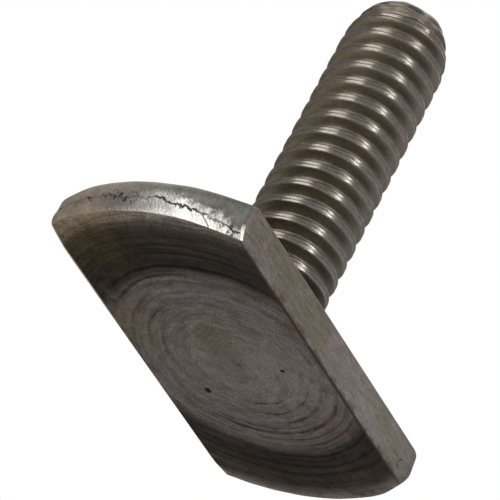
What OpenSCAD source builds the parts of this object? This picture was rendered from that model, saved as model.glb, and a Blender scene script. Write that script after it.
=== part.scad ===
// T-bolt: a round, upset head with two flats cut across it, on a threaded shank.
// Stands on the underside of its head, with the shank pointing up along +Z.
// X runs along the head and Y across the flats. Millimetres.

/* [Overall] */
// Whole length, from the underside of the head to the end of the shank
overall_length = 25.4; // [14:0.1:34]

/* [Head] */
// Width across the two flats
head_width = 12; // [9:0.1:17]
// Diameter of the two round ends, at their widest
head_diameter = 24.6; // [18:0.1:34]
// Thickness of the head
head_thickness = 2.35; // [1.5:0.05:5]
// Radius of the rounded edges of the round ends, as a share of the thickness
rounding_share = 0.47; // [0.2:0.01:0.5]
// How far that rounding carries the edges in, as a share of its radius
draw_in_share = 0.82; // [0.3:0.01:1]
// Width of the shallow bevel around the underside, in from the widest diameter
bevel_width = 1.6; // [0.4:0.1:3]
// Angle of that bevel to the underside
bevel_angle = 9; // [4:0.5:15]
// Size of the small bevel along the long edges
edge_bevel = 0.12; // [0.05:0.01:0.4]

/* [Neck] */
// Height of the plain neck between the head and the thread
neck_length = 0.8; // [0.4:0.1:5]
// Radius of the fillet between the neck and the head
neck_fillet = 0.4; // [0.1:0.05:1]

/* [Thread] */
// Diameter over the crests of the thread
thread_diameter = 6.22; // [4.5:0.01:8]
// Distance from one crest to the next, along the shank
thread_pitch = 1.27; // [0.9:0.01:1.6]
// Depth of the thread, as a share of its pitch
depth_share = 0.58; // [0.45:0.01:0.62]
// Width of the flat on a crest, as a share of the pitch
crest_share = 0.18; // [0.1:0.01:0.2]
// Angle between the two flanks of a crest
flank_angle = 60; // [50:1:60]
// Turns over which the thread rises from the neck
rising_turns = 0.5; // [0.5:0.25:2]
// Direction in which the thread starts, seen from the end of the shank
start_angle = 56; // [0:1:359]

/* [End of the shank] */
// Length over which the shank rounds down to its end
end_round = 3.7; // [1:0.1:5]
// Diameter of the flat on the end, as a share of the thread's diameter
end_share = 0.48; // [0.3:0.01:0.6]

/* [Hidden] */
$fn = 96;
steel = "#8f8b86";

head_radius = head_diameter / 2;
rounding = rounding_share * head_thickness;
// Height over which the rounding runs before it meets the face of the head
rounding_height = rounding * sqrt(1 - pow(1 - draw_in_share, 2));

crest_radius = thread_diameter / 2;
thread_depth = depth_share * thread_pitch;
root_radius = crest_radius - thread_depth;
end_flat_radius = end_share * crest_radius;

// The thread is rolled on a rod midway between root and crest; the neck is that rod, left plain
neck_radius = crest_radius - thread_depth / 2;
neck_top = head_thickness + neck_length;
// Neck and thread both start inside the head, at this height
foot = head_thickness / 2;
// Where they overlap, the thread's plain skirt is this much smaller than the neck
inset = 0.03;
skirt_radius = neck_radius - inset;
thread_start = neck_top + inset;

// One turn of the thread in profile, as [height, share of the depth], from the bottom of
// one flank over the crest to the middle of the rounded root above it
root_rounding = 0.14;
flank_height = (1 - root_rounding) * thread_depth * tan(flank_angle / 2);
crest_width = crest_share * thread_pitch;
profile = [
    [0, root_rounding],
    [flank_height, 1],
    [flank_height + crest_width, 1],
    [2 * flank_height + crest_width, root_rounding],
    [flank_height + (crest_width + thread_pitch) / 2, 0]
];

// The rounded end closes over the last rows of the thread with flat rings, each given as
// the share of the rounding's length at which it sits
end_rings = [0.93, 0.98, 1];
closing_height = overall_length - end_round * (1 - end_rings[0]) - inset;

// The thread's rows wind around the shank; steps around a turn are fewer on a long thread
rows_in_turn = len(profile);
turns = ceil((closing_height - thread_start) / thread_pitch);
row_count = rows_in_turn * (turns + 1);
steps = min(48, floor(11000 / (2 * rows_in_turn * turns)));

// Radius that the rounded end leaves at a height
function end_radius(z) =
    let (
        share = (z - overall_length + end_round) / end_round,
        t = min(max(share, 0), 1)
    )
    end_flat_radius + (crest_radius - end_flat_radius) * sqrt(1 - t * t);

// Height of a row of the thread at a step around the turn
function row_height(row, step) =
    let (turn = floor(row / rows_in_turn))
    thread_start + thread_pitch * (turn + step / steps) + profile[row % rows_in_turn][0];

// Radius of a row there: the plain rod at first, the full thread after the rising turns
function row_radius(row, step) =
    let (
        turn = floor(row / rows_in_turn),
        risen = min((turn + step / steps) / rising_turns, 1),
        full = root_radius + profile[row % rows_in_turn][1] * thread_depth
    )
    min(
        skirt_radius + (full - skirt_radius) * risen,
        end_radius(row_height(row, step))
    );

// Number of rows that lie below the closing rings at a step
function rows_below(step) = len([
    for (row = [0:row_count - 1])
        if (row_height(row, step) < closing_height) row
]);

// Point at a radius and a height, at a step around the turn
function around(radius, step, z) =
    let (a = 360 * step / steps)
    [radius * cos(a), radius * sin(a), z];

// Triangles that join one corner to each pair of neighbours in a chain
function fan(corner, chain) = [
    for (n = [0:len(chain) - 2])
        [corner, chain[n], chain[n + 1]]
];

// The threaded rod as one closed skin: a plain skirt up from inside the head, rows that
// wind up the shank, and rings that close the rounded end
module thread() {
    closing = [
        for (share = end_rings)
            overall_length - end_round * (1 - share)
    ];
    rings = len(closing);
    first_ring = row_count * steps;
    skirt = first_ring + rings * steps;
    points = concat(
        [
            for (row = [0:row_count - 1], step = [0:steps - 1])
                let (z = min(row_height(row, step), closing_height))
                around(row_radius(row, step), step, z)
        ],
        [
            for (z = closing, step = [0:steps - 1])
                around(end_radius(z), step, z)
        ],
        [for (step = [0:steps - 1]) around(skirt_radius, step, foot)]
    );

    // A step past the last one is the first step of the next turn
    function corner(row, step) =
        step < steps ? row * steps + step : (row + rows_in_turn) * steps;
    function top_row(step) =
        step < steps ? rows_below(step) - 1 : rows_below(0) - 1 - rows_in_turn;
    function in_ring(start, step) = start + step % steps;

    winding = [
        for (step = [0:steps - 1], row = [0:top_row(step + 1) - 1])
            each fan(corner(row, step), [
                corner(row + 1, step),
                corner(row + 1, step + 1),
                corner(row, step + 1)
            ])
    ];
    under_rings = [
        for (step = [0:steps - 1])
            let (last = top_row(step + 1))
            each fan(corner(last, step + 1), concat(
                [for (row = [last:top_row(step)]) corner(row, step)],
                [in_ring(first_ring, step), in_ring(first_ring, step + 1)]
            ))
    ];
    between_rings = [
        for (n = [0:rings - 2], step = [0:steps - 1])
            let (low = first_ring + n * steps, high = low + steps)
            each fan(in_ring(low, step), [
                in_ring(high, step),
                in_ring(high, step + 1),
                in_ring(low, step + 1)
            ])
    ];
    over_skirt = [
        for (step = [0:steps - 2])
            each fan(in_ring(skirt, step), [
                corner(0, step),
                corner(0, step + 1),
                in_ring(skirt, step + 1)
            ])
    ];
    // Where the first turn comes round, the skirt meets all the rows that start there
    start_of_rows = fan(corner(0, steps - 1), concat(
        [for (row = [rows_in_turn:-1:0]) corner(row, 0)],
        [skirt, in_ring(skirt, steps - 1)]
    ));
    flat_ends = [
        [for (step = [0:steps - 1]) skirt + step],
        [for (step = [steps - 1:-1:0]) skirt - steps + step]
    ];

    polyhedron(
        points = points,
        faces = concat(
            winding,
            under_rings,
            between_rings,
            over_skirt,
            start_of_rows,
            flat_ends
        ),
        convexity = 8
    );
}

// Section of the round head: level underside, shallow bevel and rounded side
module head_section() {
    level_radius = head_radius - bevel_width;
    core_radius = head_radius - rounding;
    upper_height = head_thickness - rounding_height;
    intersection() {
        polygon([
            [0, 0],
            [level_radius, 0],
            [head_radius, bevel_width * tan(bevel_angle)],
            [head_radius, head_thickness],
            [0, head_thickness]
        ]);
        union() {
            translate([core_radius, rounding_height])
                circle(r = rounding);
            translate([core_radius, upper_height])
                circle(r = rounding);
            square([core_radius, head_thickness]);
            translate([0, rounding_height])
                square([head_radius, upper_height - rounding_height]);
        }
    }
}

// Section of the head from flat to flat, with its bevelled long edges
module flats_section() {
    half = head_width / 2;
    inner = half - edge_bevel;
    upper = head_thickness - edge_bevel;
    polygon([
        [-inner, 0],
        [inner, 0],
        [half, edge_bevel],
        [half, upper],
        [inner, head_thickness],
        [-inner, head_thickness],
        [-half, upper],
        [-half, edge_bevel]
    ]);
}

module head() {
    intersection() {
        rotate_extrude()
            head_section();
        rotate([90, 0, 90])
            linear_extrude(height = head_diameter * 2, center = true)
                flats_section();
    }
}

// Plain neck, with a fillet that blends it into the shank side of the head
module neck() {
    fillet_reach = neck_radius + neck_fillet;
    fillet_height = head_thickness + neck_fillet;
    rotate_extrude()
        difference() {
            translate([0, foot])
                square([fillet_reach, neck_top - foot]);
            translate([fillet_reach, fillet_height])
                circle(r = neck_fillet);
            translate([neck_radius, fillet_height])
                square([neck_fillet * 2, overall_length]);
        }
}

module t_bolt() {
    color(steel)
        union() {
            head();
            neck();
            rotate([0, 0, start_angle])
                thread();
        }
}

t_bolt();
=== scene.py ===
import math

import bpy
import numpy as np
from mathutils import Matrix, Vector, noise


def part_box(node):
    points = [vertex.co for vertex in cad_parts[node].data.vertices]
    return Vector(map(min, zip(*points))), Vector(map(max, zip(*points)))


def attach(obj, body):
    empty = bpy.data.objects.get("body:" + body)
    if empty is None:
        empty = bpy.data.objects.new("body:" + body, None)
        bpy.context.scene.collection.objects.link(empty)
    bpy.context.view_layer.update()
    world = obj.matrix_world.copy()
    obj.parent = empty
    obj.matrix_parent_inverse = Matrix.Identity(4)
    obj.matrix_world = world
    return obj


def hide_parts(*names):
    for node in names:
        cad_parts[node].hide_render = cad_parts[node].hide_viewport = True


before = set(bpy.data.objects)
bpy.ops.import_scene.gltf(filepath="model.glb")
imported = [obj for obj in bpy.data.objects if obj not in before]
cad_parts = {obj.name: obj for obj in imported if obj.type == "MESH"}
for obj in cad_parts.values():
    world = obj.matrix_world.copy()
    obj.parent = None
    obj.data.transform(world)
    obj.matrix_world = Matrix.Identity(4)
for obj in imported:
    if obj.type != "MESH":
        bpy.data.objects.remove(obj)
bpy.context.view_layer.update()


# ---------------------------------------------------------------------------
# Head. A flat round head upset on the end of a steel rod, its two round ends
# rolled over by the dies, its underside faced in a lathe and two parallel
# flats cut across it, so that it passes into a slot and can't turn there.
# ---------------------------------------------------------------------------
MM = 0.001
_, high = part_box("t_bolt")
# Sizes are in millimetres, until the skin is made.
length = high.z / MM
head_radius = high.x / MM
half_width = high.y / MM
head_thickness = 2.35
end_rounding = 1.1045
end_draw_in = 0.9057
rounding_height = math.sqrt(end_rounding ** 2 - (end_rounding - end_draw_in) ** 2)
bevel_width = 1.6
bevel_slope = math.tan(math.radians(9))
level_radius = head_radius - bevel_width
long_edge = 0.06
upright_edge = 0.14

# Points go round every ring of the skin alike: in each quarter so many steps along
# the round end, round the upright edge and along the flat.
ALONG_ARC = 30
ALONG_EDGE = 5
ALONG_FLAT = 25
QUARTER = ALONG_ARC + ALONG_EDGE + ALONG_FLAT
AROUND = 4 * QUARTER


def steps_from_end(step):
    """Steps from the middle of the nearer round end; QUARTER is the middle of a flat."""
    return QUARTER - abs(step % (2 * QUARTER) - QUARTER)


def head_outline(radius, half, edge):
    """x and y round the head where its ends have this radius and its flats this half width."""
    step = np.arange(AROUND)
    x_sign = np.where((step <= QUARTER) | (step >= 3 * QUARTER), 1.0, -1.0)
    y_sign = np.where(step <= 2 * QUARTER, 1.0, -1.0)
    off_end = steps_from_end(step)
    y_centre = half - edge
    x_centre = np.sqrt((radius - edge) ** 2 - y_centre ** 2)
    meets = np.arctan2(y_centre, x_centre)
    on_arc = meets * np.minimum(off_end / ALONG_ARC, 1)
    turn = meets + (np.pi / 2 - meets) * np.clip((off_end - ALONG_ARC) / ALONG_EDGE, 0, 1)
    along = np.clip((off_end - ALONG_ARC - ALONG_EDGE) / ALONG_FLAT, 0, 1)
    arc = off_end <= ALONG_ARC
    x = np.where(arc, radius * np.cos(on_arc), x_centre * (1 - along) + edge * np.cos(turn))
    y = np.where(arc, radius * np.sin(on_arc), y_centre + edge * np.sin(turn))
    x = np.where(off_end == QUARTER, 0.0, x)
    return x * x_sign, y * y_sign


def under_height(x, y):
    """Height of the underside: level in the middle, then a shallow bevel."""
    return np.maximum(np.hypot(x, y) - level_radius, 0) * bevel_slope


def rounded(size, rounding, z, low_edge, high_edge):
    """A half size of the head, rounded off below low_edge and above high_edge."""
    off = np.clip(np.maximum(low_edge - z, z - high_edge), 0, rounding)
    return size - rounding + np.sqrt(rounding ** 2 - off ** 2)


def end_radius_at(z):
    """Radius of the round ends, rolled over towards both faces."""
    return rounded(head_radius, end_rounding, z, rounding_height, head_thickness - rounding_height)


def half_width_at(z, foot):
    """Half the width across the flats, rounded at the long edges."""
    return rounded(half_width, long_edge, z, foot + long_edge, head_thickness - long_edge)


# Where the bevel of the underside runs into the rounding of the ends, found by
# going to and fro between the two until they agree.
TRIES = 60
meet_z = 0.0
for _ in range(TRIES):
    meet_z = (end_radius_at(meet_z) - level_radius) * bevel_slope
rim_radius = float(end_radius_at(meet_z))

# The underside's rings lie closer from where its bevel starts.
rings = []
rim_x, rim_y = head_outline(rim_radius, half_width - long_edge, upright_edge)
lowest = under_height(rim_x, rim_y)
for share in np.r_[np.linspace(0.05, 0.84, 10), np.linspace(0.85, 1.0, 16)]:
    x, y = rim_x * share, rim_y * share
    rings.append(np.c_[x, y, under_height(x, y)])
underside_rings = len(rings)

SIDE_STEPS = 36
for j in range(1, SIDE_STEPS + 1):
    share = (1 - math.cos(math.pi * j / SIDE_STEPS)) / 2
    z = lowest + (head_thickness - lowest) * share
    x, y = head_outline(end_radius_at(z), half_width_at(z, lowest), upright_edge)
    rings.append(np.c_[x, y, z])
side_rings = len(rings)


def smooth(share):
    """Eases a share in and out, from 0 to 1."""
    share = min(max(share, 0.0), 1.0)
    return share * share * (3 - 2 * share)


low_reach = 1.1
high_start = 1.2
straightened = 0.82
cold_unevenness = 0.035


def worn_head(p):
    """Moves a point of the head to where skew dies have left it."""
    x, y, z = p
    r = math.hypot(x, y)
    at_rim = min(r / rim_radius, 1.0) ** 6
    if x < 0:
        # The dies stood skew, and drew this end in more towards one corner. Its lower and
        # upper edges come in by so much in the middle, and by less or more towards each side.
        to_plus, to_minus = max(y, 0), max(-y, 0)
        low_in = 0.06 - 0.09 * to_plus + 0.06 * to_minus
        high_in = 0.02 - 0.05 * to_plus + 0.06 * smooth(to_minus / 2)
        low_share = smooth((low_reach - z) / low_reach)
        high_share = smooth((z - high_start) / (head_thickness - high_start))
        x += at_rim * (low_in * low_share + high_in * high_share)
        # In the corner at -Y the end is straight from face to face.
        bulge = 1 - (2 * z / head_thickness - 1) ** 2
        x += at_rim * straightened * bulge * smooth((to_minus - 2.8) / 3.2)
    # Cold forming leaves the round ends a little uneven.
    if r > rim_radius - 0.5 and abs(y) < half_width - 0.3:
        uneven = noise.noise(Vector((x, y, z * 1.5)) * 0.9) * cold_unevenness
        x, y = x * (1 - uneven / r), y * (1 - uneven / r)
    return x, y, z


rings = [np.array([worn_head(p) for p in ring]) for ring in rings]

# The shank side of the head is flat and runs in to the fillet at the neck. The
# rod stands a hair out of square with the head, so its foot lies off centre.
thread_radius = 3.11
pitch = 1.27
depth_share = 0.58
thread_depth = depth_share * pitch
neck_radius = thread_radius - thread_depth / 2
neck_length = 0.8
neck_top = head_thickness + neck_length
upper_neck = 0.6
fillet = 0.4
fillet_radius = neck_radius + fillet
angle = np.arange(AROUND) * 2 * np.pi / AROUND
cos_a, sin_a = np.cos(angle), np.sin(angle)
lean_slope = 0.0098
lean_way = (0.70, -0.71)
unmoved_height = 17.5


def leaning(p):
    """Shifts a point of the rod sideways, by more the nearer it lies to the head."""
    off = lean_slope * (unmoved_height - p[2])
    return p[0] + lean_way[0] * off, p[1] + lean_way[1] * off, p[2]


FACE_STEPS = 12
top = rings[-1]
inner = np.c_[fillet_radius * cos_a, fillet_radius * sin_a, top[:, 2]]
inner = np.array([leaning(p) for p in inner])
for share in np.linspace(0, 1, FACE_STEPS + 1)[1:]:
    rings.append(top * (1 - share) + inner * share)
face_rings = len(rings)

# Knocks have flattened the corner at +X -Y, with a facet towards each face, and
# rounded the lower corner at -X +Y: direction, a place near the facet, share pressed in.
knocks = [
    ((0.70, -0.70, 0.00), (10.215, -5.965, 1.20), 1.0),
    ((0.80, -0.53, -0.45), (9.96, -5.975, 0.32), 1.0),
    ((0.75, -0.50, 0.26), (10.18, -5.97, 1.83), 1.0),
    ((-0.55, 0.75, -0.37), (-10.36, 5.92, 0.20), 0.4)]
blunt = 0.12
for direction, near_facet, pressed in knocks:
    direction = np.array(direction) / np.linalg.norm(direction)
    for ring in rings[:face_rings]:
        over = np.maximum((ring - near_facet) @ direction, 0)
        over = over - blunt * (1 - np.exp(-over / blunt))
        ring -= over[:, None] * direction * pressed


def colour(hex_value):
    """An sRGB hex colour as linear red, green, blue and alpha."""
    parts = [int(hex_value[i:i + 2], 16) / 255 for i in (1, 3, 5)]
    linear = [c / 12.92 if c <= 0.04045 else ((c + 0.055) / 1.055) ** 2.4 for c in parts]
    return (*linear, 1.0)


def node(tree, kind, inputs=None, stops=None, **settings):
    """Adds one node with its settings. An input is a value, or a node or socket to link from."""
    made = tree.nodes.new("ShaderNode" + kind)
    for name, value in settings.items():
        setattr(made, name, value)
    for socket, value in (inputs or {}).items():
        if isinstance(value, bpy.types.Node):
            value = value.outputs[0]
        if isinstance(value, bpy.types.NodeSocket):
            tree.links.new(value, made.inputs[socket])
        else:
            made.inputs[socket].default_value = value
    if stops:
        ramp = made.color_ramp
        while len(ramp.elements) < len(stops):
            ramp.elements.new(0.5)
        for element, (position, value) in zip(ramp.elements, stops):
            element.position = position
            element.color = colour(value) if isinstance(value, str) else value
    return made


def steel(name, roughness):
    """A bare steel: its node tree, its shader and the place on the bolt in millimetres."""
    made = bpy.data.materials.new(name)
    made.use_nodes = True
    tree = made.node_tree
    tree.nodes.clear()
    # Steel reflects a little less than a perfect mirror where it is seen at a slant.
    shader = node(tree, "BsdfPrincipled", {"Metallic": 1.0, "Roughness": roughness,
                                           "Specular Tint": colour("#c2c1c0")})
    node(tree, "OutputMaterial", {"Surface": shader})
    where = node(tree, "TexCoord").outputs["Object"]
    mm = node(tree, "VectorMath", {0: where, "Scale": 1 / MM}, operation="SCALE")
    return made, tree, shader, mm


def clouds(tree, place, per_mm, detail, roughness, seen, given):
    """Noise with so many clouds in a millimetre, its values within seen spread over those given."""
    made = node(tree, "TexNoise", {"Vector": place, "Scale": per_mm, "Detail": detail,
                                   "Roughness": roughness})
    return node(tree, "MapRange", {"Value": made, "From Min": seen[0], "From Max": seen[1],
                                   "To Min": given[0], "To Max": given[1]})


def surface(tree, shader, base, relief, strength, depth):
    """Gives a steel its colour, and its relief to a depth in millimetres."""
    bump = node(tree, "Bump", {"Height": relief, "Strength": strength, "Distance": depth * MM})
    tree.links.new(base.outputs[0], shader.inputs["Base Color"])
    tree.links.new(bump.outputs[0], shader.inputs["Normal"])


# Noise stays mostly within this range.
MOST = (0.3, 0.7)

# Mild steel faced in a lathe: rings of tool marks round a centre just off the
# shank's axis, a dark ring outside 7.5 mm, painted shade for how the turned lay
# reflects there, and grey-brown stains of old oil.
turned, tree, shader, mm = steel("Mild steel, faced in a lathe", 0.5)
lathe_centre = (0.05, -0.35, 0.0)
ramp_reach = 12.5
place = node(tree, "SeparateXYZ", {"Vector": mm})
level = node(tree, "VectorMath", {0: mm, 1: (1, 1, 0)}, operation="MULTIPLY")
spun = node(tree, "VectorMath", {0: level, 1: lathe_centre}, operation="SUBTRACT")
radius = node(tree, "VectorMath", {0: spun}, operation="LENGTH").outputs["Value"]
toward = node(tree, "VectorMath", {0: spun}, operation="NORMALIZE")
wander = clouds(tree, mm, 0.45, 3.0, 0.5, MOST, (-0.06, 0.06))
wavy = node(tree, "Math", {0: radius, 1: wander}, operation="ADD")
by_radius = node(tree, "Math", {0: wavy, 1: ramp_reach}, operation="DIVIDE")
# Painted shade: the colour turns dark in the ring outside about 7.3 mm.
base = node(tree, "ValToRGB", {"Fac": by_radius}, stops=[
    (0.00, "#544f4b"), (0.16, "#5d5853"), (0.32, "#57534f"), (0.46, "#544f4c"), (0.54, "#514c48"),
    (0.58, "#433e3a"), (0.61, "#302c29"), (0.65, "#262321"), (0.75, "#2b2823"), (0.82, "#2f2b26"),
    (0.86, "#322e29")])
# The bevel round the rim is lighter.
from_middle = node(tree, "VectorMath", {0: level}, operation="LENGTH").outputs["Value"]
rim = node(tree, "MapRange", {"Value": from_middle, "From Min": 10.5, "From Max": 12.0},
           interpolation_type="SMOOTHSTEP")
base = node(tree, "MixRGB", {"Fac": rim, "Color1": base, "Color2": colour("#6a625b")})
# Tool marks too fine for the eye blend into rings about a fifth of a millimetre wide. They
# are faint in the middle, and strongest in the dark ring.
dark_ring = node(tree, "MapRange", {"Value": radius, "From Min": 7.3, "From Max": 7.9})
inner_share = node(tree, "MapRange", {"Value": radius, "From Min": 1.0, "From Max": 5.0,
                                      "To Min": 0.35, "To Max": 0.9})
strength = node(tree, "Math", {0: dark_ring, 1: 0.9, 2: inner_share}, operation="MULTIPLY_ADD")
for rings_in_mm, in_turn, dark, light in ((6.0, 2.2, 0.72, 1.26), (2.1, 1.4, 0.82, 1.20)):
    around = node(tree, "VectorMath", {0: toward, "Scale": in_turn}, operation="SCALE")
    out = node(tree, "Math", {0: wavy, 1: rings_in_mm}, operation="MULTIPLY")
    out = node(tree, "CombineXYZ", {"Z": out})
    polar = node(tree, "VectorMath", {0: around, 1: out}, operation="ADD")
    marks = clouds(tree, polar, 1.0, 3.0, 0.6, (0.34, 0.66), (dark, light))
    marked = node(tree, "MixRGB", {"Fac": 1.0, "Color1": base, "Color2": marks},
                  blend_type="MULTIPLY")
    base = node(tree, "MixRGB", {"Fac": strength, "Color1": base, "Color2": marked})
# Deeper marks, each part of a turn: radius and width in mm, from and to in degrees, darkness.
deep_marks = [
    (3.42, 0.10, -62, 12, 0.75), (4.22, 0.12, -64, 6, 0.75), (4.98, 0.17, -58, -14, 0.8),
    (5.45, 0.12, -25, 44, 0.65), (5.88, 0.24, -55, 36, 0.75), (6.45, 0.12, -52, 10, 0.60),
    (6.95, 0.15, -48, -12, 0.65), (7.10, 0.20, 128, 184, 0.75), (6.05, 0.16, 106, 150, 0.65),
    (5.05, 0.16, 108, 152, 0.65), (4.20, 0.14, 106, 140, 0.45), (7.80, 0.24, 140, 222, 0.90),
    (8.85, 0.14, 140, 222, 0.60), (9.45, 0.16, 140, 215, 0.55), (10.1, 0.14, 146, 200, 0.50),
    (7.85, 0.22, -62, 20, 0.75), (8.75, 0.18, -70, 38, 0.70), (9.40, 0.16, -66, 36, 0.60),
    (10.2, 0.14, -60, 20, 0.45)]
fading_end = 0.2
broken = clouds(tree, mm, 2.6, 3.0, 0.5, (0.38, 0.58), (0.75, 1.0))
deepest = None
for mark_radius, width, start, end, darkness in deep_marks:
    off = node(tree, "Math", {0: wavy, 1: mark_radius}, operation="SUBTRACT")
    off = node(tree, "Math", {0: off}, operation="ABSOLUTE")
    across = node(tree, "MapRange", {"Value": off, "From Min": 0.0, "From Max": width,
                                     "To Min": darkness, "To Max": 0.0},
                  interpolation_type="SMOOTHSTEP")
    middle = math.radians((start + end) / 2)
    half = math.radians((end - start) / 2)
    facing = node(tree, "VectorMath", {0: toward, 1: (math.cos(middle), math.sin(middle), 0)},
                  operation="DOT_PRODUCT").outputs["Value"]
    along = node(tree, "MapRange", {"Value": facing, "From Min": math.cos(half + fading_end),
                                    "From Max": math.cos(max(half - fading_end, 0.0))},
                 interpolation_type="SMOOTHSTEP")
    mark = node(tree, "Math", {0: across, 1: along}, operation="MULTIPLY")
    if deepest:
        mark = node(tree, "Math", {0: deepest, 1: mark}, operation="MAXIMUM")
    deepest = mark
deepest = node(tree, "Math", {0: deepest, 1: broken}, operation="MULTIPLY")
base = node(tree, "MixRGB", {"Fac": deepest, "Color1": base, "Color2": colour("#15120f")})
blot = clouds(tree, mm, 1.1, 4.0, 0.6, MOST, (-1.2, 1.2))


def spot(base, x, y, size, raggedness, firm_share, tint, strength):
    """Mixes in a ragged spot of the underside, full in its middle and fading to its edge."""
    off = node(tree, "VectorMath", {0: level, 1: (x, y, 0)}, operation="DISTANCE").outputs["Value"]
    off = node(tree, "Math", {0: blot, 1: raggedness, 2: off}, operation="MULTIPLY_ADD")
    inside = node(tree, "MapRange", {"Value": off, "From Min": size * firm_share, "From Max": size,
                                     "To Min": strength, "To Max": 0.0},
                  interpolation_type="SMOOTHSTEP")
    return node(tree, "MixRGB", {"Fac": inside, "Color1": base, "Color2": colour(tint)})


# Stains of oil: place and size in mm, tint and strength.
stains = [
    (-1.9, -0.1, 1.6, "#4a4838", 0.55), (-9.0, 3.9, 2.6, "#3b3628", 0.35),
    (-3.0, 4.6, 2.6, "#5a5044", 0.55), (1.2, -2.8, 3.6, "#64605a", 0.70),
    (-4.4, 2.8, 1.8, "#4b423b", 0.40), (10.6, -3.5, 2.0, "#3a3430", 0.40),
    (4.6, -3.9, 1.6, "#59493f", 0.40)]
for x, y, size, tint, stained in stains:
    base = spot(base, x, y, size, 1.0, 0.3, tint, stained)
# Towards the corner at -X +Y all of it is tinted olive brown.
off = node(tree, "VectorMath", {0: level, 1: (-10.5, 4.0, 0)}, operation="DISTANCE").outputs["Value"]
olive = node(tree, "MapRange", {"Value": off, "From Min": 1.5, "From Max": 5.0,
                                "To Min": 1.0, "To Max": 0.0}, interpolation_type="SMOOTHSTEP")
base = node(tree, "MixRGB", {"Fac": olive, "Color1": base, "Color2": colour("#fff6e0")},
            blend_type="MULTIPLY")
warm = clouds(tree, mm, 1.0, 5.0, 0.65, (0.50, 0.60), (0.0, 0.45))
base = node(tree, "MixRGB", {"Fac": warm, "Color1": base, "Color2": colour("#a08880")},
            blend_type="OVERLAY")
# A mottle half a millimetre wide, and grain drawn as coarse as shows.
for per_mm, detail, roughness, dark, light in ((1.9, 6.0, 0.75, 0.76, 1.24), (9.0, 2.0, 0.9, 0.56, 1.44)):
    mottle = clouds(tree, mm, per_mm, detail, roughness, MOST, (dark, light))
    base = node(tree, "MixRGB", {"Fac": 1.0, "Color1": base, "Color2": mottle},
                blend_type="MULTIPLY")
# The edge along one flat is darker, and along the other a painted highlight lies on the worn chamfer.
darker_edge = node(tree, "MapRange", {"Value": place.outputs["Y"], "From Min": -5.94, "From Max": -5.84,
                                "To Min": 0.85, "To Max": 0.0})
base = node(tree, "MixRGB", {"Fac": darker_edge, "Color1": base, "Color2": colour("#2b2520")})
edge_highlight = node(tree, "MapRange", {"Value": place.outputs["Y"], "From Min": 5.84, "From Max": 5.93})
left_share = node(tree, "MapRange", {"Value": place.outputs["X"], "From Min": -2.0, "From Max": -6.0})
edge_highlight = node(tree, "Math", {0: edge_highlight, 1: left_share}, operation="MULTIPLY")
base = node(tree, "MixRGB", {"Fac": edge_highlight, "Color1": base, "Color2": colour("#b9ab9b")})
# Three pits where scale was pressed into the metal.
for x, y, size in ((2.5, 2.85, 0.26), (0.2, -0.5, 0.14), (0.55, -3.2, 0.18)):
    base = spot(base, x, y, size, 0.06, 0.5, "#0f0c0a", 0.92)
relief = node(tree, "Math", {0: marks, 1: deepest}, operation="SUBTRACT")
surface(tree, shader, base, relief, 0.5, 0.02)

# Mild steel upset cold and rolled over: the lower half is rubbed bright, with a painted
# highlight, and the edge of the folded metal shows as a ragged crack round each end, with the
# upper half dull, streaked and painted darker as shade above it. One upright edge has a painted glint.
upset, tree, shader, mm = steel("Mild steel, upset cold", 0.34)
place = node(tree, "SeparateXYZ", {"Vector": mm})
x_sign = node(tree, "Math", {0: place.outputs["X"]}, operation="SIGN")
x_out = node(tree, "Math", {0: place.outputs["X"]}, operation="ABSOLUTE")
y_turned = node(tree, "Math", {0: place.outputs["Y"], 1: x_sign}, operation="MULTIPLY")
bearing = node(tree, "Math", {0: y_turned, 1: x_out}, operation="ARCTAN2")
end_half = math.radians(30)
round_end = node(tree, "MapRange", {"Value": bearing, "From Min": -end_half, "From Max": end_half})
# Round each end: the crack's height in units of 2 mm, how dark it is, how far the bright
# lower colour, worn and with its painted highlight, reaches above it in mm, and how thickly
# specks cluster there.
crack_unit = 2.0
crack_course = [
    (0.00, 0.48, 1.0, 0.00, 0.5), (0.06, 0.47, 1.0, 0.00, 0.6), (0.10, 0.47, 0.4, 0.00, 0.4),
    (0.14, 0.47, 1.0, 0.00, 0.6), (0.20, 0.48, 0.5, 0.00, 0.5), (0.26, 0.49, 1.0, 0.00, 0.7),
    (0.32, 0.44, 0.2, 0.00, 0.8), (0.38, 0.46, 0.8, 0.00, 1.0), (0.43, 0.40, 0.9, 0.00, 1.0),
    (0.48, 0.33, 0.6, 0.00, 1.0), (0.53, 0.42, 0.5, 0.00, 0.6), (0.57, 0.34, 0.4, 0.10, 0.3),
    (0.62, 0.42, 0.9, 0.15, 0.1), (0.655, 0.42, 1.0, 0.15, 0.0), (0.675, 0.33, 1.0, 0.27, 0.0),
    (0.71, 0.31, 1.0, 0.29, 0.0), (0.76, 0.31, 1.0, 0.25, 0.0), (0.81, 0.32, 1.0, 0.15, 0.0),
    (0.845, 0.31, 0.9, 0.16, 0.0), (0.87, 0.30, 0.7, 0.24, 0.3), (0.92, 0.28, 0.8, 0.22, 0.6),
    (0.96, 0.26, 1.0, 0.12, 0.9), (0.99, 0.20, 1.0, 0.00, 1.0)]
course = node(tree, "ValToRGB", {"Fac": round_end}, stops=[(s, tuple(v)) for s, *v in crack_course])
told = node(tree, "SeparateColor", {"Color": course})
jagged = clouds(tree, mm, 3.2, 3.0, 0.65, MOST, (-0.11, 0.11))
crack_height = node(tree, "Math", {0: told.outputs["Red"], 1: crack_unit, 2: jagged},
                    operation="MULTIPLY_ADD")
above = node(tree, "Math", {0: place.outputs["Z"], 1: crack_height}, operation="SUBTRACT")
off = node(tree, "Math", {0: above}, operation="ABSOLUTE")
thick = clouds(tree, mm, 2.3, 3.0, 0.7, (0.4, 0.62), (0.06, 0.12))
crack = node(tree, "Math", {0: off, 1: thick}, operation="DIVIDE")
crack = node(tree, "MapRange", {"Value": crack, "From Min": 0.35, "From Max": 1.0,
                                "To Min": 1.0, "To Max": 0.0}, interpolation_type="SMOOTHSTEP")
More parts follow.
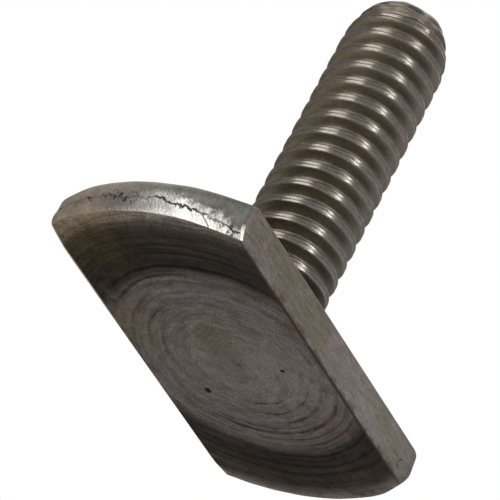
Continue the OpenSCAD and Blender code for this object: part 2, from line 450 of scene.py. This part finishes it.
crack = node(tree, "Math", {0: crack, 1: told.outputs["Green"]}, operation="MULTIPLY")
# A second crack runs down from it to the lower edge.
side_course = node(tree, "MapRange", {"Value": place.outputs["Z"], "From Min": 0.08, "From Max": 0.62,
                                      "To Min": 0.885, "To Max": 0.835})
side_off = node(tree, "Math", {0: round_end, 1: side_course}, operation="SUBTRACT")
side_off = node(tree, "Math", {0: jagged, 1: 0.05, 2: side_off}, operation="MULTIPLY_ADD")
side_off = node(tree, "Math", {0: side_off}, operation="ABSOLUTE")
side_crack = node(tree, "MapRange", {"Value": side_off, "From Min": 0.001, "From Max": 0.005,
                                     "To Min": 0.8, "To Max": 0.0})
under_crack = node(tree, "MapRange", {"Value": above, "From Min": 0.0, "From Max": 0.05,
                                      "To Min": 1.0, "To Max": 0.0})
side_crack = node(tree, "Math", {0: side_crack, 1: under_crack}, operation="MULTIPLY")
crack = node(tree, "Math", {0: crack, 1: side_crack}, operation="MAXIMUM")
bright_reach = node(tree, "Math", {0: jagged, 1: 1.2, 2: told.outputs["Blue"]}, operation="MULTIPLY_ADD")
over_lip = node(tree, "Math", {0: above, 1: bright_reach}, operation="SUBTRACT")
upper = node(tree, "MapRange", {"Value": over_lip, "From Min": -0.12, "From Max": 0.38},
             interpolation_type="SMOOTHSTEP")
# Upright streaks, seven to a millimetre, where the metal slid along the die.
streak_place = node(tree, "VectorMath", {0: mm, 1: (7.0, 7.0, 1.3)}, operation="MULTIPLY")
streaks = clouds(tree, streak_place, 1.0, 4.0, 0.65, MOST, (0.85, 1.15))
# Painted highlight: the worn lower colour is brightest towards one corner of each end.
worn_and_lit = node(tree, "ValToRGB", {"Fac": round_end}, stops=[
    (0.0, "#786e61"), (0.25, "#807568"), (0.42, "#5f5b55"), (0.52, "#75726c"), (0.7, "#84827e"),
    (0.8, "#93918c"), (0.88, "#a4a29c"), (1.0, "#918f89")])
# Painted shade: the dull upper colour is darkest towards that same corner.
dull_and_shaded = node(tree, "ValToRGB", {"Fac": round_end}, stops=[
    (0.0, "#756c60"), (0.25, "#82786c"), (0.5, "#6c6861"), (0.68, "#575650"), (1.0, "#4b4b47")])
base = node(tree, "MixRGB", {"Fac": upper, "Color1": worn_and_lit, "Color2": dull_and_shaded})
mottle = clouds(tree, mm, 1.6, 6.0, 0.65, MOST, (0.74, 1.26))
for pattern in (streaks, mottle):
    base = node(tree, "MixRGB", {"Fac": 1.0, "Color1": base, "Color2": pattern},
                blend_type="MULTIPLY")
# Dark specks of trapped scale, thickest where the two halves meet in the middle.
specks = clouds(tree, mm, 3.6, 3.0, 0.65, (0.53, 0.585), (0.0, 1.0))
band = node(tree, "MapRange", {"Value": off, "From Min": 0.15, "From Max": 0.5,
                               "To Min": 1.0, "To Max": 0.0}, interpolation_type="SMOOTHSTEP")
specks = node(tree, "Math", {0: specks, 1: band}, operation="MULTIPLY")
specks = node(tree, "Math", {0: specks, 1: course.outputs["Alpha"]}, operation="MULTIPLY")
fold = node(tree, "Math", {0: specks, 1: crack}, operation="MAXIMUM")
fold = node(tree, "Math", {0: fold, 1: 0.92}, operation="MULTIPLY")
base = node(tree, "MixRGB", {"Fac": fold, "Color1": base, "Color2": colour("#15120d")})
# A painted highlight on the upright edge beside one flat, in its lower half.
sliver = node(tree, "MapRange", {"Value": y_turned, "From Min": 5.84, "From Max": 5.90})
sliver_top = node(tree, "MapRange", {"Value": place.outputs["Z"], "From Min": 0.6, "From Max": 1.0,
                                     "To Min": 0.9, "To Max": 0.0})
sliver = node(tree, "Math", {0: sliver, 1: sliver_top}, operation="MULTIPLY")
base = node(tree, "MixRGB", {"Fac": sliver, "Color1": base, "Color2": colour("#c4c2ba")})
rough = node(tree, "MapRange", {"Value": upper, "To Min": 0.30, "To Max": 0.48})
rough = node(tree, "Math", {0: fold, 1: 0.4, 2: rough}, operation="MULTIPLY_ADD")
tree.links.new(rough.outputs[0], shader.inputs["Roughness"])
relief = node(tree, "Math", {0: streaks, 1: fold}, operation="SUBTRACT")
surface(tree, shader, base, relief, 0.6, 0.05)

# Mild steel sawn and dressed flat: an even grey-brown with faint blots of old
# oil, fine slanting scratches and a worn lower edge.
dressed, tree, shader, mm = steel("Mild steel, sawn and dressed", 0.5)
place = node(tree, "SeparateXYZ", {"Vector": mm})
along = node(tree, "MapRange", {"Value": place.outputs["X"], "From Min": -10.5, "From Max": 10.5})
base = node(tree, "ValToRGB", {"Fac": along}, stops=[
    (0.0, "#615b54"), (0.4, "#605a53"), (0.55, "#6b6562"), (0.75, "#706b68"), (1.0, "#66605c")])
for seen, given, tint in (((0.48, 0.64), (0.0, 0.65), "#635b49"), ((0.36, 0.47), (0.6, 0.0), "#746767")):
    blots = clouds(tree, mm, 0.7, 5.0, 0.65, seen, given)
    base = node(tree, "MixRGB", {"Fac": blots, "Color1": base, "Color2": colour(tint)})
# Scratches slant along the flat, five or six to a millimetre, which is as fine as shows.
scratch_place = node(tree, "Mapping", {"Vector": mm, "Rotation": (0, math.radians(38), 0),
                                       "Scale": (1.2, 6.0, 7.0)})
scratches = clouds(tree, scratch_place, 0.8, 4.0, 0.6, MOST, (0.80, 1.20))
base = node(tree, "MixRGB", {"Fac": 1.0, "Color1": base, "Color2": scratches},
            blend_type="MULTIPLY")
# Here and there one is deeper, and lies at a steeper slant.
cut_place = node(tree, "Mapping", {"Vector": mm, "Rotation": (0, math.radians(52), 0),
                                   "Scale": (0.7, 3.0, 7.0)})
cuts = clouds(tree, cut_place, 0.7, 2.0, 0.5, (0.655, 0.70), (0.0, 0.55))
base = node(tree, "MixRGB", {"Fac": cuts, "Color1": base, "Color2": colour("#362e28")})
# The grain is drawn as coarse as shows.
grain = clouds(tree, mm, 5.5, 4.0, 0.8, MOST, (0.74, 1.26))
base = node(tree, "MixRGB", {"Fac": 1.0, "Color1": base, "Color2": grain}, blend_type="MULTIPLY")
edge_wander = node(tree, "TexNoise", {"Vector": mm, "Scale": 1.4, "Detail": 3.0})
edge_height = node(tree, "Math", {0: edge_wander, 1: -1.4, 2: place.outputs["Z"]},
                   operation="MULTIPLY_ADD")
worn_edge = node(tree, "MapRange", {"Value": edge_height, "From Min": -0.72, "From Max": -0.40,
                                    "To Min": 0.75, "To Max": 0.0},
                 interpolation_type="SMOOTHSTEP")
base = node(tree, "MixRGB", {"Fac": worn_edge, "Color1": base, "Color2": colour("#4b3d38")})
# A crescent dent near the end of the flat.
dent_middle = (9.25, 0, 0.85)
dent_radius = 0.30
dent = node(tree, "VectorMath", {0: mm, 1: (1, 0, 1)}, operation="MULTIPLY")
dent = node(tree, "VectorMath", {0: dent, 1: dent_middle}, operation="DISTANCE").outputs["Value"]
dent = node(tree, "Math", {0: dent, 1: dent_radius}, operation="SUBTRACT")
dent = node(tree, "Math", {0: dent}, operation="ABSOLUTE")
dent = node(tree, "MapRange", {"Value": dent, "From Min": 0.02, "From Max": 0.09,
                               "To Min": 0.7, "To Max": 0.0})
dent_side = node(tree, "MapRange", {"Value": place.outputs["X"], "From Min": 9.35, "From Max": 9.15})
dent = node(tree, "Math", {0: dent, 1: dent_side}, operation="MULTIPLY")
base = node(tree, "MixRGB", {"Fac": dent, "Color1": base, "Color2": colour("#3a312c")})
# The lower edge is darker.
dark_line = node(tree, "MapRange", {"Value": place.outputs["Z"], "From Min": 0.04, "From Max": 0.12,
                                    "To Min": 0.8, "To Max": 0.0})
base = node(tree, "MixRGB", {"Fac": dark_line, "Color1": base, "Color2": colour("#2b2420")})
surface(tree, shader, base, scratches, 0.5, 0.02)

# ---------------------------------------------------------------------------
# Shank. The rod below the head is left plain for less than a millimetre, then
# carries a 1/4-20 right-hand thread, rolled: the metal squeezed up by the dies
# closes in two lips along each crest, and doesn't quite meet near the end.
# ---------------------------------------------------------------------------
FILLET_STEPS = 7
for turn in np.linspace(0, np.pi / 2, FILLET_STEPS + 1)[1:]:
    r = neck_radius + fillet * (1 - math.sin(turn))
    z = head_thickness + fillet * (1 - math.cos(turn))
    rings.append(np.c_[r * cos_a, r * sin_a, np.full(AROUND, z)])
for z in (head_thickness + upper_neck, neck_top):
    rings.append(np.c_[neck_radius * cos_a, neck_radius * sin_a, np.full(AROUND, z)])

# The thread starts a hair above the neck and from a rod a hair thinner.
hair = 0.03
thread_start = neck_top + hair
plain_radius = neck_radius - hair
crest_drop = 0.015
start_angle = math.radians(56)
rising_turns = 0.5
crest_middle = 0.50
root_shade = 0.6
end_round = 3.7
end_share = 0.48
end_flat = end_share * thread_radius
end_power = 2.15
closing_shares = (0.93, 0.965, 0.985, 0.996, 1.0)
# One thread, from flank to flank: height from the middle of its crest, and depth below it.
one_thread = [
    (-0.50, 0.57), (-0.41, 0.40), (-0.325, 0.235), (-0.27, 0.13), (-0.22, 0.055), (-0.17, 0.014),
    (-0.11, 0.0), (-0.045, 0.018), (0.0, 0.08), (0.045, 0.018), (0.11, 0.0), (0.17, 0.006),
    (0.215, 0.032), (0.255, 0.09), (0.37, 0.30), (0.50, 0.52), (pitch / 2, 0.66)]
profile = [(crest_middle + height, depth) for height, depth in one_thread]
rows_in_turn = len(profile)
closing = [length - end_round * (1 - share) for share in closing_shares]
turns = math.ceil((closing[0] - thread_start) / pitch)
row_count = rows_in_turn * (turns + 1)
# The material tells root from crest by a share, 0 in the roots and 1 on the crests.
# These are the shares at which the plain rod and the worn end are coloured.
ROD_SHARE = 0.3
END_SHARE = 0.87


def tip_radius(z):
    """Radius that the rounded end leaves at a height."""
    share = np.clip((z - length + end_round) / end_round, 0, 1)
    return end_flat + (thread_radius - end_flat) * np.sqrt(1 - share ** end_power)


def nearing(z, start, reach):
    """Share from 0 at start, in mm before the end of the shank, to 1 after this reach."""
    return np.clip((z - length + start) / reach, 0, 1)


unfilled_depth = 0.12
unfilled_half = 0.16
blunt_depth = 0.13
blunt_angle = math.radians(320)
rod_angle = angle + start_angle
thread_points = np.zeros((row_count, AROUND, 3))
thread_share = np.zeros((row_count, AROUND))
thread_oil = np.zeros((row_count, AROUND))
for row in range(row_count):
    turn = row // rows_in_turn + np.arange(AROUND) / AROUND
    height, depth = profile[row % rows_in_turn]
    z = thread_start + pitch * turn + height
    risen = np.minimum(turn / rising_turns, 1)
    full = thread_radius - crest_drop - depth
    # The lips don't quite fill near the end, which is blunter on the side of +X -Y.
    on_lips = max(1 - abs(height - crest_middle) / unfilled_half, 0)
    unfilled = unfilled_depth * nearing(z, 4.6, 3.0) * on_lips
    facing = np.maximum(np.cos(rod_angle - blunt_angle), 0)
    unfilled = unfilled + blunt_depth * nearing(z, 1.9, 1.5) * facing
    r = np.minimum(plain_radius + (full - plain_radius) * risen, tip_radius(z)) - unfilled
    thread_points[row] = np.c_[r * np.cos(rod_angle), r * np.sin(rod_angle), z]
    # Where the thread rises, its rows take on the look of the plain rod.
    share = 1 - np.clip((thread_radius - full) / thread_depth, 0, 1)
    share = ROD_SHARE + (share - ROD_SHARE) * risen
    near_end = nearing(z, 2.2, 1.4)
    thread_share[row] = share + (END_SHARE - share) * near_end
    # Painted shade: each crest is darker on the side that faces the end of the shank, its root
    # somewhat less, and the whole thread is darker near the end.
    in_root = row % rows_in_turn == rows_in_turn - 1
    shade_amount = root_shade if in_root else min(max((height - crest_middle + 0.01) / 0.19, 0), 1)
    thread_oil[row] = np.maximum(shade_amount * risen, near_end)
below = [int((thread_points[:, k, 2] < closing[0] - hair).sum()) for k in range(AROUND)]
end_unevenness = 0.04


def ragged(p):
    """Dents a point near the end of the shank, where the dies let the metal go."""
    x, y, z = p
    near_end = smooth((z - length + 2.6) / 1.4)
    dent = 1 + end_unevenness * near_end * noise.noise(Vector((x * 1.1, y * 1.1, z * 1.9)))
    return leaning((x * dent, y * dent, z))


# Mild steel with a rolled thread: the crests are rubbed bright and scratched along their lips, so they
# glint in broken streaks; flanks and roots are brown, with painted shade where they face the end.
# One side of the shank is painted lighter and the other darker, as light and shade.
rolled, tree, shader, mm = steel("Mild steel, thread rolled", 0.32)
up_thread = node(tree, "Attribute", attribute_name="thread_share").outputs["Fac"]
base = node(tree, "ValToRGB", {"Fac": up_thread}, stops=[
    (0.0, "#50493d"), (0.2, "#595246"), (0.44, "#706858"), (0.67, "#635b4e"), (0.85, "#554f46"),
    (0.95, "#625d57"), (1.0, "#6d6862")])
place = node(tree, "SeparateXYZ", {"Vector": mm})
on_crest = node(tree, "MapRange", {"Value": up_thread, "From Min": 0.8, "From Max": 1.0})
# Painted light: the side towards +X is coloured lighter and greyer, for the light it reflects.
light_towards_plus_x = node(tree, "MapRange", {"Value": place.outputs["X"], "From Min": -1.4, "From Max": 0.8})
light_towards_plus_x = node(tree, "Math", {0: light_towards_plus_x, 1: 0.65}, operation="MULTIPLY")
worn_and_lit = node(tree, "MixRGB", {"Fac": on_crest, "Color1": colour("#68625d"),
                               "Color2": colour("#76706b")})
base = node(tree, "MixRGB", {"Fac": light_towards_plus_x, "Color1": base, "Color2": worn_and_lit})
# Painted shade: this mask darkens each crest's side facing the end, the roots and the end.
shade_mask = node(tree, "Attribute", attribute_name="thread_oil").outputs["Fac"]
base = node(tree, "MixRGB", {"Fac": shade_mask, "Color1": base, "Color2": colour("#d2d4df")},
            blend_type="MULTIPLY")
# Painted shade: the side towards -X is made a little darker than the rest.
shade_towards_minus_x = node(tree, "VectorMath", {0: mm, 1: (-0.94, 0.34, 0)},
              operation="DOT_PRODUCT").outputs["Value"]
shade_towards_minus_x = node(tree, "MapRange", {"Value": shade_towards_minus_x, "From Min": 2.1, "From Max": 2.8})
base = node(tree, "MixRGB", {"Fac": shade_towards_minus_x, "Color1": base, "Color2": colour("#ebe9e4")},
            blend_type="MULTIPLY")
brown = clouds(tree, mm, 1.5, 4.0, 0.6, (0.58, 0.70), (0.0, 0.6))
base = node(tree, "MixRGB", {"Fac": brown, "Color1": base, "Color2": colour("#5c4a3a")})
# Scratches drawn out round the shank, fifteen to a millimetre up it.
drawn_place = node(tree, "VectorMath", {0: mm, 1: (1.6, 1.6, 15.0)}, operation="MULTIPLY")
drawn = clouds(tree, drawn_place, 1.0, 2.0, 0.6, MOST, (0.72, 1.28))
base = node(tree, "MixRGB", {"Fac": on_crest, "Color1": base, "Color2": drawn},
            blend_type="MULTIPLY")
grain = clouds(tree, mm, 6.0, 4.0, 0.8, MOST, (0.72, 1.28))
base = node(tree, "MixRGB", {"Fac": 1.0, "Color1": base, "Color2": grain}, blend_type="MULTIPLY")
rough = node(tree, "MapRange", {"Value": up_thread, "From Min": 0.8, "From Max": 1.0,
                                "To Min": 0.36, "To Max": 0.14})
tree.links.new(rough.outputs[0], shader.inputs["Roughness"])
# The relief is the scratches on the crests, and the grain elsewhere.
drawn = node(tree, "Math", {0: drawn, 1: on_crest}, operation="MULTIPLY")
off_crest = node(tree, "Math", {0: 1.0, 1: on_crest}, operation="SUBTRACT")
relief = node(tree, "Math", {0: drawn, 1: 0.35}, operation="MULTIPLY")
relief = node(tree, "Math", {0: grain, 1: off_crest, 2: relief}, operation="MULTIPLY_ADD")
surface(tree, shader, base, relief, 0.5, 0.03)

# ---------------------------------------------------------------------------
# Skin. Head and shank are one piece of metal, so they get one closed skin,
# from the middle of the underside to the middle of the shank's end.
# ---------------------------------------------------------------------------
points = []
share_of = []
shade_of = []


def add_points(places, share, shade_amount):
    """Adds points with one share and one amount of painted shade, and gives the first one's number."""
    first = len(points)
    points.extend(places)
    share_of.extend([share] * (len(points) - first))
    shade_of.extend([shade_amount] * (len(points) - first))
    return first


def circle(r, heights):
    """A ring round the shank, turned to where the thread starts."""
    return [(r * math.cos(a), r * math.sin(a), z) for a, z in zip(rod_angle, heights)]


add_points([(0, 0, 0)], 0.0, 0.0)
ring_start = [add_points([tuple(p) for p in ring], ROD_SHARE, 0.0) for ring in rings[:face_rings]]
ring_start += [add_points([leaning(p) for p in ring], ROD_SHARE, 0.0) for ring in rings[face_rings:]]
row_start = len(points)
points.extend(ragged(p) for p in thread_points.reshape(-1, 3))
share_of.extend(thread_share.reshape(-1).tolist())
shade_of.extend(thread_oil.reshape(-1).tolist())
# The plain rod runs up to just under the thread's first flank.
foot_share = 0.9
foot_z = neck_top + foot_share * (thread_points[0, :, 2] - neck_top)
foot_start = add_points([leaning(p) for p in circle(plain_radius, foot_z)], ROD_SHARE, 0.0)
close_start = []
for z in closing:
    closing_ring = circle(float(tip_radius(z)), [z] * AROUND)
    close_start.append(add_points([ragged(p) for p in closing_ring], END_SHARE, 1.0))
end_point = add_points([leaning((0, 0, length))], END_SHARE, 1.0)

KINDS = [turned, upset, dressed, rolled]
TURNED, UPSET, DRESSED, ROLLED = range(4)
faces, kinds = [], []


def skin(face, kind):
    """Adds one face of one kind of surface."""
    faces.append(face)
    kinds.append(kind)


def is_flat(k):
    return steps_from_end(k) >= ALONG_ARC + ALONG_EDGE - 1


for k in range(AROUND):
    n = (k + 1) % AROUND
    skin((0, ring_start[0] + n, ring_start[0] + k), TURNED)
    for ring in range(1, len(rings)):
        if ring < underside_rings:
            kind = TURNED
        elif ring < side_rings:
            kind = DRESSED if is_flat(k) and is_flat(n) else UPSET
        elif ring < face_rings:
            kind = DRESSED
        else:
            kind = ROLLED
        a, b = ring_start[ring - 1], ring_start[ring]
        skin((a + k, a + n, b + n, b + k), kind)


def row_point(row, k):
    """A point of a row of the thread; the step after the last is the next turn's first."""
    return row_start + (row * AROUND + k if k < AROUND else (row + rows_in_turn) * AROUND)


def top_row(k):
    """The last row that lies below the closing rings."""
    return below[k] - 1 if k < AROUND else below[0] - 1 - rows_in_turn


# The neck's rings are turned to where the thread starts.
shift = round(start_angle / (2 * math.pi) * AROUND)
neck = ring_start[-1]
for k in range(AROUND):
    for row in range(top_row(k + 1)):
        skin((row_point(row, k), row_point(row, k + 1), row_point(row + 1, k + 1),
              row_point(row + 1, k)), ROLLED)
    last = top_row(k + 1)
    chain = [row_point(row, k) for row in range(top_row(k), last - 1, -1)]
    n = (k + 1) % AROUND
    skin((row_point(last, k + 1), close_start[0] + n, close_start[0] + k, *chain), ROLLED)
    for a, b in zip(close_start, close_start[1:]):
        skin((a + k, a + n, b + n, b + k), ROLLED)
    skin((close_start[-1] + k, close_start[-1] + n, end_point), ROLLED)
    low_k, low_n = neck + (k + shift) % AROUND, neck + (k + 1 + shift) % AROUND
    foot_k, foot_n = foot_start + k, foot_start + n
    if k < AROUND - 1:
        skin((low_k, low_n, foot_n, foot_k), ROLLED)
        skin((foot_k, foot_n, row_point(0, k + 1), row_point(0, k)), ROLLED)
    else:
        # Where the first turn comes round, the rod meets all the rows that start there.
        chain = [low_k, low_n, foot_n] + [row_point(row, 0) for row in range(rows_in_turn + 1)]
        chain.append(row_point(0, k))
        for a, b in zip(chain, chain[1:]):
            skin((foot_k, a, b), ROLLED)

# Rows above the closing rings aren't used, and are left out.
used = sorted({i for face in faces for i in face})
new_index = {old: new for new, old in enumerate(used)}
mesh = bpy.data.meshes.new("t_bolt_skin")
mesh.from_pydata([tuple(c * MM for c in points[i]) for i in used], [],
                 [tuple(new_index[i] for i in face) for face in faces])
mesh.validate()
mesh.update()
for kind in KINDS:
    mesh.materials.append(kind)
mesh.polygons.foreach_set("material_index", kinds)
mesh.polygons.foreach_set("use_smooth", [True] * len(mesh.polygons))
for name, values in (("thread_share", share_of), ("thread_oil", shade_of)):
    layer = mesh.attributes.new(name, "FLOAT", "POINT")
    layer.data.foreach_set("value", [values[i] for i in used])
bolt = bpy.data.objects.new("t_bolt_visual", mesh)
bpy.context.collection.objects.link(bolt)
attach(bolt, "root")
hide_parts("t_bolt")

# ---------------------------------------------------------------------------
# Floor. A sheet of white paper that keeps the bolt's shadow, and lets light
# and sight through from below, where the bolt is seen from underneath.
# ---------------------------------------------------------------------------
side = 600 * MM
drop = -0.2 * MM
corners = [(-side, -side, drop), (side, -side, drop), (side, side, drop), (-side, side, drop)]
paper_mesh = bpy.data.meshes.new("floor")
paper_mesh.from_pydata(corners, [], [(0, 1, 2, 3)])
floor = bpy.data.objects.new("floor", paper_mesh)
bpy.context.collection.objects.link(floor)
# Matt white paper: an even white, with no gloss.
paper = bpy.data.materials.new("Paper, matt white")
paper.use_nodes = True
tree = paper.node_tree
tree.nodes.clear()
ray = node(tree, "LightPath")
behind = node(tree, "NewGeometry").outputs["Backfacing"]
front = node(tree, "Math", {0: 1.0, 1: behind}, operation="SUBTRACT")
seen = node(tree, "Math", {0: front, 1: ray.outputs["Is Camera Ray"]}, operation="MULTIPLY")
clear = node(tree, "BsdfTransparent")
white = node(tree, "BsdfDiffuse", {"Color": colour("#f4f3f1")})
sheet = node(tree, "MixShader", {0: seen, 1: clear, 2: white})
node(tree, "OutputMaterial", {"Surface": sheet})
floor.data.materials.append(paper)

# ---------------------------------------------------------------------------
# Light. A white room and six soft boxes: a tall one level with the head's left
# end and a small one below it, a tall narrow one in front of the near flat and
# one above that, a weak one high behind and one high on the right.
# ---------------------------------------------------------------------------
room = bpy.data.worlds.new("white room")
bpy.context.scene.world = room
room.use_nodes = True
tree = room.node_tree
tree.nodes.clear()
ray = node(tree, "LightPath")
seen = ray.outputs["Is Camera Ray"]
for kind_of_ray in ("Is Glossy Ray", "Is Transmission Ray"):
    seen = node(tree, "Math", {0: seen, 1: ray.outputs[kind_of_ray]}, operation="MAXIMUM")
glow = node(tree, "Background", {"Strength": 0.55, "Color": colour("#ffffff")})
backdrop = node(tree, "Background", {"Strength": 1.0, "Color": colour("#ffffff")})
lit = node(tree, "MixShader", {0: seen, 1: glow, 2: backdrop})
node(tree, "OutputWorld", {"Surface": lit})
reach = 300 * MM
aim = Vector((0, 0, 10 * MM))


def soft_box(name, compass, elevation, width, height, radiance):
    """A soft box facing the bolt from 300 mm away; its angles and its size are in degrees."""
    lamp = bpy.data.lights.new(name, "AREA")
    lamp.shape = "RECTANGLE"
    lamp.size = 2 * reach * math.tan(math.radians(width / 2))
    lamp.size_y = 2 * reach * math.tan(math.radians(height / 2))
    # An area lamp of this power looks this bright.
    lamp.energy = radiance * math.pi * lamp.size * lamp.size_y
    box = bpy.data.objects.new(name, lamp)
    a, e = math.radians(compass), math.radians(elevation)
    away = Vector((math.cos(a) * math.cos(e), math.sin(a) * math.cos(e), math.sin(e)))
    box.location = aim + away * reach
    sideways = Vector((-math.sin(a), math.cos(a), 0))
    upwards = away.cross(sideways)
    box.rotation_euler = Matrix((sideways, upwards, away)).transposed().to_euler()
    box.visible_camera = False
    bpy.context.collection.objects.link(box)


soft_box("left soft box", 181, -5, 30, 100, 4.4)
soft_box("low left soft box", 150, -66, 28, 28, 5.0)
soft_box("front soft box", 259, 15, 8, 120, 10.0)
soft_box("high front soft box", 259, 58, 18, 34, 4.0)
soft_box("high soft box", 86, 65, 40, 30, 2.5)
soft_box("right soft box", 20, 62, 36, 40, 2.2)

# ---------------------------------------------------------------------------
# Camera. A long lens, from below and to the left of the near flat, looking up
# and rolled so that the shank leans to the upper right.
# ---------------------------------------------------------------------------
eye_place = Vector((-112.591, -109.103, -91.189)) * MM
heading, tilt, roll = math.radians(44.8024), math.radians(32.0093), math.radians(28.6397)
eye = bpy.data.cameras.new("camera")
eye.sensor_width = 36.0
eye.lens = 245.0
eye.clip_start, eye.clip_end = 0.01, 10.0
camera = bpy.data.objects.new("camera", eye)
quarter_turn = math.pi / 2
camera.matrix_world = (
    Matrix.Translation(eye_place) @ Matrix.Rotation(heading - quarter_turn, 4, "Z")
    @ Matrix.Rotation(quarter_turn + tilt, 4, "X") @ Matrix.Rotation(roll, 4, "Z"))
bpy.context.collection.objects.link(camera)
bpy.context.scene.camera = camera
bpy.context.scene.view_settings.view_transform = "Standard"
